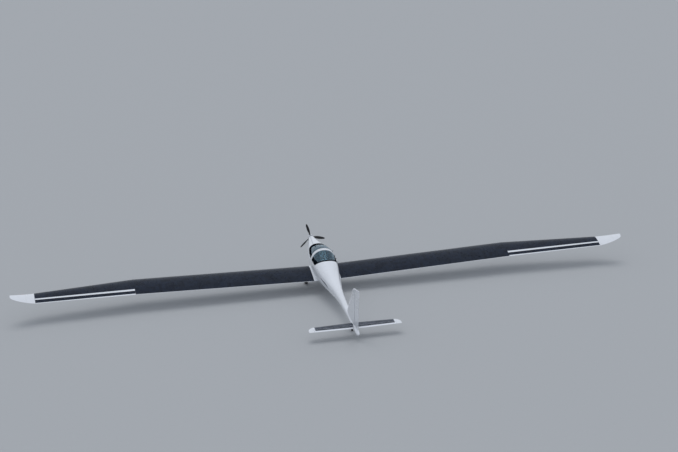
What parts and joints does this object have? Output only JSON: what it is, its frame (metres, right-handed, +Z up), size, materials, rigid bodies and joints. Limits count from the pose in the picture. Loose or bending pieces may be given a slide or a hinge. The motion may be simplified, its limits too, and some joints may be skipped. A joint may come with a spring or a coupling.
{
  "type": "two-seat solar-powered aircraft",
  "caption": "Two-seat solar-powered aircraft with long low wing, upturned tips, nose propeller, side-hinged canopies, low tailplane and tail-wheel gear, parked.",
  "frame": {"origin": "on the ground, in the middle of the bounding box of the parked aircraft", "axes": "+X to port along the span, +Y aft, +Z up; the nose is pitched up as it parks on its tail wheel"},
  "size_m": [24.66, 8.622, 2.0646],
  "materials": {
    "gelcoat_white": "glossy white gel coat over fibre composite",
    "solar_cells": "dark blue-black solar cells under a clear film",
    "canopy_frame": "black painted frame band",
    "canopy_glass": "blue-grey tinted acrylic",
    "black_composite": "satin black carbon composite",
    "interior_grey": "matt grey composite",
    "seat_fabric": "dark grey woven seat cover",
    "metal": "machined aluminium",
    "steel": "plain steel",
    "tyre": "matt tread rubber"
  },
  "bodies": {
    "airframe": {"nose_cowl_upper": "gelcoat_white", "nose_cowl_lower": "gelcoat_white", "cockpit_shell": "gelcoat_white", "rear_bulkhead": "gelcoat_white", "tail_cone": "gelcoat_white", "canopy_hoop": "gelcoat_white", "fin": "gelcoat_white", "tail_wheel_strut": "gelcoat_white", "wing_root_fairing_left": "gelcoat_white", "wing_root_fairing_right": "gelcoat_white", "wing_tip_left": "gelcoat_white", "wing_tip_right": "gelcoat_white", "main_gear_leg_left": "gelcoat_white", "main_gear_leg_right": "gelcoat_white", "wing_inner_left": "solar_cells", "wing_inner_right": "solar_cells", "wing_outer_left": "solar_cells", "wing_outer_right": "solar_cells", "stabilizer_left": "solar_cells", "stabilizer_right": "solar_cells", "instrument_panel_front": "black_composite", "instrument_panel_rear": "black_composite", "control_stick_front": "black_composite", "control_stick_rear": "black_composite", "cockpit_floor": "interior_grey", "seat_front": "seat_fabric", "seat_rear": "seat_fabric", "motor_block": "metal", "motor_mount": "metal", "firewall": "metal", "battery_block": "metal", "main_axle_left": "steel", "main_axle_right": "steel"},
    "propeller": {"spinner": "gelcoat_white", "propeller_hub": "metal", "propeller_blade_1": "black_composite", "propeller_blade_2": "black_composite", "propeller_blade_3": "black_composite"},
    "canopy_front": {"canopy_front_frame": "canopy_frame", "canopy_front_glass": "canopy_glass"},
    "canopy_rear": {"canopy_rear_frame": "canopy_frame", "canopy_rear_glass": "canopy_glass"},
    "aileron_left": {"aileron_left": "solar_cells"},
    "aileron_right": {"aileron_right": "solar_cells"},
    "elevator": {"elevator": "gelcoat_white"},
    "rudder": {"rudder": "gelcoat_white"},
    "main_wheel_left": {"main_rim_left": "metal", "main_tyre_left": "tyre"},
    "main_wheel_right": {"main_rim_right": "metal", "main_tyre_right": "tyre"},
    "tail_fork": {"tail_wheel_fork": "metal", "tail_wheel_axle": "steel"},
    "tail_wheel": {"tail_wheel_rim": "metal", "tail_wheel_tyre": "tyre"}
  },
  "joints": [
    {"name": "propeller_spin", "type": "hinge", "parent": "airframe", "child": "propeller", "pos_m": [0, -4.1722, 1.24415], "axis": [0, 0.9917, -0.1287], "continuous": true},
    {"name": "canopy_front_open", "type": "hinge", "parent": "airframe", "child": "canopy_front", "pos_m": [-0.512, -2.17095, 1.20215], "axis": [0, -0.9917, 0.1287], "range_deg": [0, 80]},
    {"name": "canopy_rear_open", "type": "hinge", "parent": "airframe", "child": "canopy_rear", "pos_m": [-0.512, -1.57594, 1.1249], "axis": [0, -0.9917, 0.1287], "range_deg": [0, 80]},
    {"name": "aileron_left_hinge", "type": "hinge", "parent": "airframe", "child": "aileron_left", "pos_m": [7.564, -1.44327, 0.7966], "axis": [0.9991, 0.0375, 0.0212], "range_deg": [-20, 20]},
    {"name": "aileron_right_hinge", "type": "hinge", "parent": "airframe", "child": "aileron_right", "pos_m": [-7.564, -1.44327, 0.7966], "axis": [0.9991, -0.0375, -0.0212], "range_deg": [-20, 20]},
    {"name": "elevator_hinge", "type": "hinge", "parent": "airframe", "child": "elevator", "pos_m": [0, 3.52083, 0.42085], "axis": [1, 0, 0], "range_deg": [-25, 25]},
    {"name": "rudder_hinge", "type": "hinge", "parent": "airframe", "child": "rudder", "pos_m": [0, 3.58258, 0.46931], "axis": [0, 0.1287, 0.9917], "range_deg": [-30, 30]},
    {"name": "main_wheel_left_spin", "type": "hinge", "parent": "airframe", "child": "main_wheel_left", "pos_m": [0.65, -2.20483, 0.18], "axis": [1, 0, 0], "continuous": true},
    {"name": "main_wheel_right_spin", "type": "hinge", "parent": "airframe", "child": "main_wheel_right", "pos_m": [-0.65, -2.20483, 0.18], "axis": [1, 0, 0], "continuous": true},
    {"name": "tail_wheel_steer", "type": "hinge", "parent": "airframe", "child": "tail_fork", "pos_m": [0, 2.97999, 0.25511], "axis": [0, 0.1287, 0.9917], "range_deg": [-35, 35]},
    {"name": "tail_wheel_spin", "type": "hinge", "parent": "tail_fork", "child": "tail_wheel", "pos_m": [0, 3.00898, 0.09], "axis": [1, 0, 0], "continuous": true}
  ],
  "couplings": [
    {"joint": "aileron_right_hinge", "follows": "aileron_left_hinge", "ratio": -1}
  ]
}
